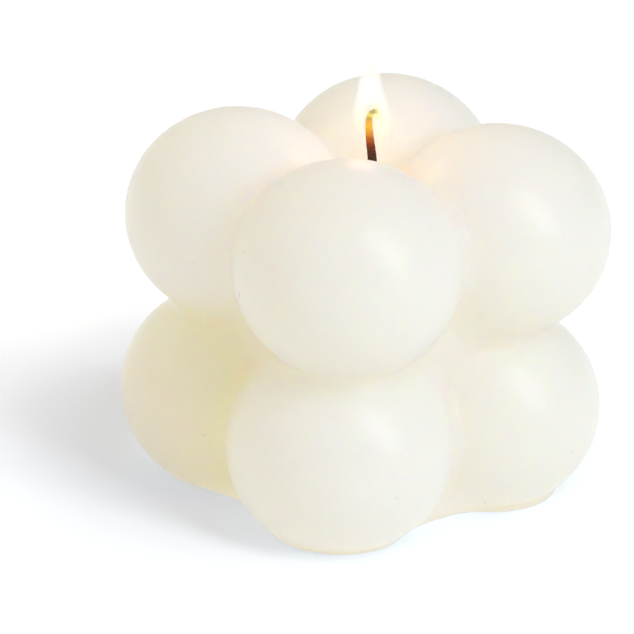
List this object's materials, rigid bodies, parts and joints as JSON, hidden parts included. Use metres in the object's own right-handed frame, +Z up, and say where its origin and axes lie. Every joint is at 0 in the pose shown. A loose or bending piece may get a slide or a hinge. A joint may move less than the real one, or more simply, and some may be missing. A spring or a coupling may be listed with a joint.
{
  "type": "bubble cube candle",
  "caption": "Free-standing wax candle cast as a cube of overlapping balls, with a braided wick that rises and curls from the middle of its top.",
  "frame": {"origin": "middle of the flat base, on the surface that the candle stands on", "axes": "+Z up along the wick, +Y along the slightly longer side of the plan, +X along the shorter side; the pictured corner is between +X and -Y"},
  "size_m": [0.0818, 0.0846, 0.08],
  "materials": {
    "wax": "smooth cast cream wax with a soft satin sheen",
    "wick": "braided cotton, burnt dark brown where it stands out of the wax"
  },
  "bodies": {
    "root": {"wax_body": "wax", "wick": "wick"}
  },
  "joints": []
}
